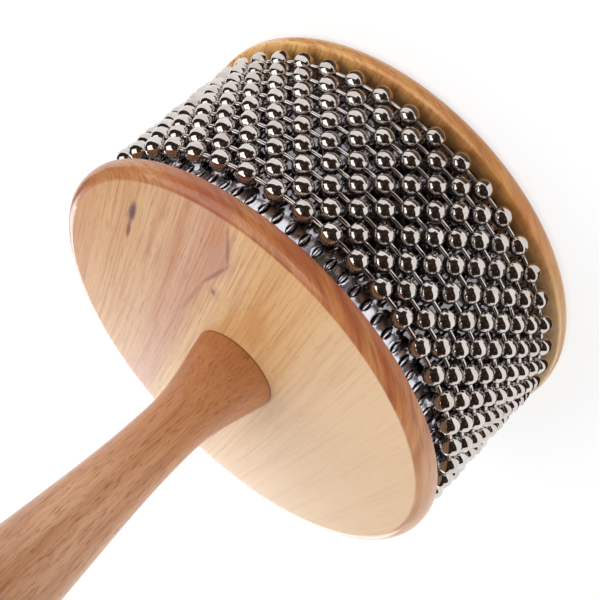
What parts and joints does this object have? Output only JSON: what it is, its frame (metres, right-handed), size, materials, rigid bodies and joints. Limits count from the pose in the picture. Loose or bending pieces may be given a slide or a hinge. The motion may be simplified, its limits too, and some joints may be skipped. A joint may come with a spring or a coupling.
{
  "type": "cabasa",
  "caption": "Hand cabasa: wooden handle and discs on a steel-sleeved drum, wrapped in loops of nickel bead chain that turn and rattle round it.",
  "frame": {"origin": "centre of the end disc's flat outer face, on which the cabasa stands with its handle up", "axes": "+Z along the axis of the head towards the handle's end; +Y towards the seam of the steel sleeve"},
  "size_m": [0.13, 0.13, 0.191],
  "materials": {
    "handle_wood": "lacquered satin",
    "disc_wood": "lacquered satin",
    "core_wood": "sawn",
    "embossed_steel": "bright, embossed",
    "bead_nickel": "bright nickel plate",
    "link_nickel": "bright nickel plate",
    "zinc_steel": "zinc plated",
    "brass": "machined"
  },
  "bodies": {
    "head_and_handle": {"handle": "handle_wood", "handle_insert": "brass", "handle_disc": "disc_wood", "end_disc": "disc_wood", "drum_core": "core_wood", "steel_sleeve": "embossed_steel", "sleeve_tacks": "zinc_steel", "tie_bolt": "zinc_steel"},
    "chain_loop_1": {"loop_1_beads": "bead_nickel", "loop_1_links": "link_nickel"},
    "chain_loop_2": {"loop_2_beads": "bead_nickel", "loop_2_links": "link_nickel"},
    "chain_loop_3": {"loop_3_beads": "bead_nickel", "loop_3_links": "link_nickel"},
    "chain_loop_4": {"loop_4_beads": "bead_nickel", "loop_4_links": "link_nickel"},
    "chain_loop_5": {"loop_5_beads": "bead_nickel", "loop_5_links": "link_nickel"},
    "chain_loop_6": {"loop_6_beads": "bead_nickel", "loop_6_links": "link_nickel"},
    "chain_loop_7": {"loop_7_beads": "bead_nickel", "loop_7_links": "link_nickel"},
    "chain_loop_8": {"loop_8_beads": "bead_nickel", "loop_8_links": "link_nickel"},
    "chain_loop_9": {"loop_9_beads": "bead_nickel", "loop_9_links": "link_nickel"}
  },
  "joints": [
    {"name": "loop_1_turn", "type": "hinge", "parent": "head_and_handle", "child": "chain_loop_1", "pos_m": [0, 0, 0.033], "axis": [0, 0, 1], "continuous": true},
    {"name": "loop_2_turn", "type": "hinge", "parent": "head_and_handle", "child": "chain_loop_2", "pos_m": [0, 0, 0.033], "axis": [0, 0, 1], "continuous": true},
    {"name": "loop_3_turn", "type": "hinge", "parent": "head_and_handle", "child": "chain_loop_3", "pos_m": [0, 0, 0.033], "axis": [0, 0, 1], "continuous": true},
    {"name": "loop_4_turn", "type": "hinge", "parent": "head_and_handle", "child": "chain_loop_4", "pos_m": [0, 0, 0.033], "axis": [0, 0, 1], "continuous": true},
    {"name": "loop_5_turn", "type": "hinge", "parent": "head_and_handle", "child": "chain_loop_5", "pos_m": [0, 0, 0.033], "axis": [0, 0, 1], "continuous": true},
    {"name": "loop_6_turn", "type": "hinge", "parent": "head_and_handle", "child": "chain_loop_6", "pos_m": [0, 0, 0.033], "axis": [0, 0, 1], "continuous": true},
    {"name": "loop_7_turn", "type": "hinge", "parent": "head_and_handle", "child": "chain_loop_7", "pos_m": [0, 0, 0.033], "axis": [0, 0, 1], "continuous": true},
    {"name": "loop_8_turn", "type": "hinge", "parent": "head_and_handle", "child": "chain_loop_8", "pos_m": [0, 0, 0.033], "axis": [0, 0, 1], "continuous": true},
    {"name": "loop_9_turn", "type": "hinge", "parent": "head_and_handle", "child": "chain_loop_9", "pos_m": [0, 0, 0.033], "axis": [0, 0, 1], "continuous": true}
  ],
  "couplings": [
    {"joint": "loop_2_turn", "follows": "loop_1_turn", "ratio": 1},
    {"joint": "loop_3_turn", "follows": "loop_1_turn", "ratio": 1},
    {"joint": "loop_4_turn", "follows": "loop_1_turn", "ratio": 1},
    {"joint": "loop_5_turn", "follows": "loop_1_turn", "ratio": 1},
    {"joint": "loop_6_turn", "follows": "loop_1_turn", "ratio": 1},
    {"joint": "loop_7_turn", "follows": "loop_1_turn", "ratio": 1},
    {"joint": "loop_8_turn", "follows": "loop_1_turn", "ratio": 1},
    {"joint": "loop_9_turn", "follows": "loop_1_turn", "ratio": 1}
  ]
}
